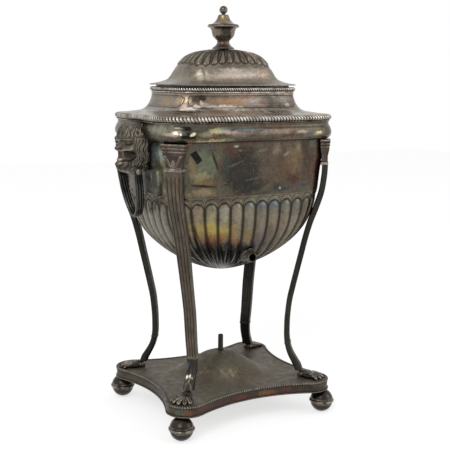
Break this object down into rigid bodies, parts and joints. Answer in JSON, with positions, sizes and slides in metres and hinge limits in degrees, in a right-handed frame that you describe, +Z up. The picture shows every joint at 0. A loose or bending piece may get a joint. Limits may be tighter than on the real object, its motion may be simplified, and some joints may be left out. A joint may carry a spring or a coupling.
{
  "type": "tea urn with tap socket",
  "caption": "Plated tea urn: a fluted bowl with a lift-off lid and two swinging bail handles, carried by lion-paw legs on a plinth with ball feet.",
  "frame": {"origin": "on the ground, in the middle between the four feet, under the axis of the urn", "axes": "+Z up, -Y towards the side with the tap socket, X from one bail handle to the other"},
  "size_m": [0.2872, 0.201, 0.5008],
  "materials": {
    "plated_sheet": "tarnished silver plate on copper sheet",
    "plated_casting": "darkened plated casting",
    "dark_bronze": "nearly black, satin",
    "worn_copper": "plate worn through to copper",
    "iron_fixings": "dull dark iron"
  },
  "bodies": {
    "urn": {"fluted_bowl": "plated_sheet", "tap_socket": "plated_casting", "body_band": "plated_sheet", "shoulder_rim": "plated_sheet", "neck_rim": "plated_sheet", "neck_shell": "plated_sheet", "lid_ledge": "plated_sheet", "leg_front_left": "plated_casting", "leg_front_right": "plated_casting", "leg_back_left": "plated_casting", "leg_back_right": "plated_casting", "capital_front_left": "plated_casting", "capital_front_right": "plated_casting", "capital_back_left": "plated_casting", "capital_back_right": "plated_casting", "paw_front_left": "plated_casting", "paw_front_right": "plated_casting", "paw_back_left": "plated_casting", "paw_back_right": "plated_casting", "paw_bolt_front_left": "iron_fixings", "paw_bolt_front_right": "iron_fixings", "paw_bolt_back_left": "iron_fixings", "paw_bolt_back_right": "iron_fixings", "base_wire": "plated_sheet", "base_fascia": "worn_copper", "base_bead": "plated_sheet", "base_plate": "plated_sheet", "burner_pin": "iron_fixings", "burner_pin_nut": "iron_fixings", "foot_lower_front_left": "dark_bronze", "foot_lower_front_right": "dark_bronze", "foot_lower_back_left": "dark_bronze", "foot_lower_back_right": "dark_bronze", "foot_upper_front_left": "dark_bronze", "foot_upper_front_right": "dark_bronze", "foot_upper_back_left": "dark_bronze", "foot_upper_back_right": "dark_bronze", "foot_post_front_left": "iron_fixings", "foot_post_front_right": "iron_fixings", "foot_post_back_left": "iron_fixings", "foot_post_back_right": "iron_fixings", "lion_mask_left": "plated_casting", "lion_mask_right": "plated_casting", "bail_pin_left": "plated_casting", "bail_pin_right": "plated_casting"},
    "lid": {"lid_dome": "plated_sheet", "lid_bezel": "plated_sheet", "finial_socle": "plated_sheet", "finial_urn": "plated_sheet", "finial_cover": "plated_sheet", "finial_ball": "plated_casting", "finial_rod": "iron_fixings", "finial_nut": "iron_fixings"},
    "bail_left": {"bail_left": "plated_casting"},
    "bail_right": {"bail_right": "plated_casting"}
  },
  "joints": [
    {"name": "lid_lift", "type": "slide", "parent": "urn", "child": "lid", "axis": [0, 0, 1], "range_m": [0, 0.04]},
    {"name": "bail_left_swing", "type": "hinge", "parent": "urn", "child": "bail_left", "pos_m": [-0.1255, 0, 0.3088], "axis": [0, 1, 0], "range_deg": [-8, 150]},
    {"name": "bail_right_swing", "type": "hinge", "parent": "urn", "child": "bail_right", "pos_m": [0.1255, 0, 0.3088], "axis": [0, -1, 0], "range_deg": [-8, 150]}
  ]
}
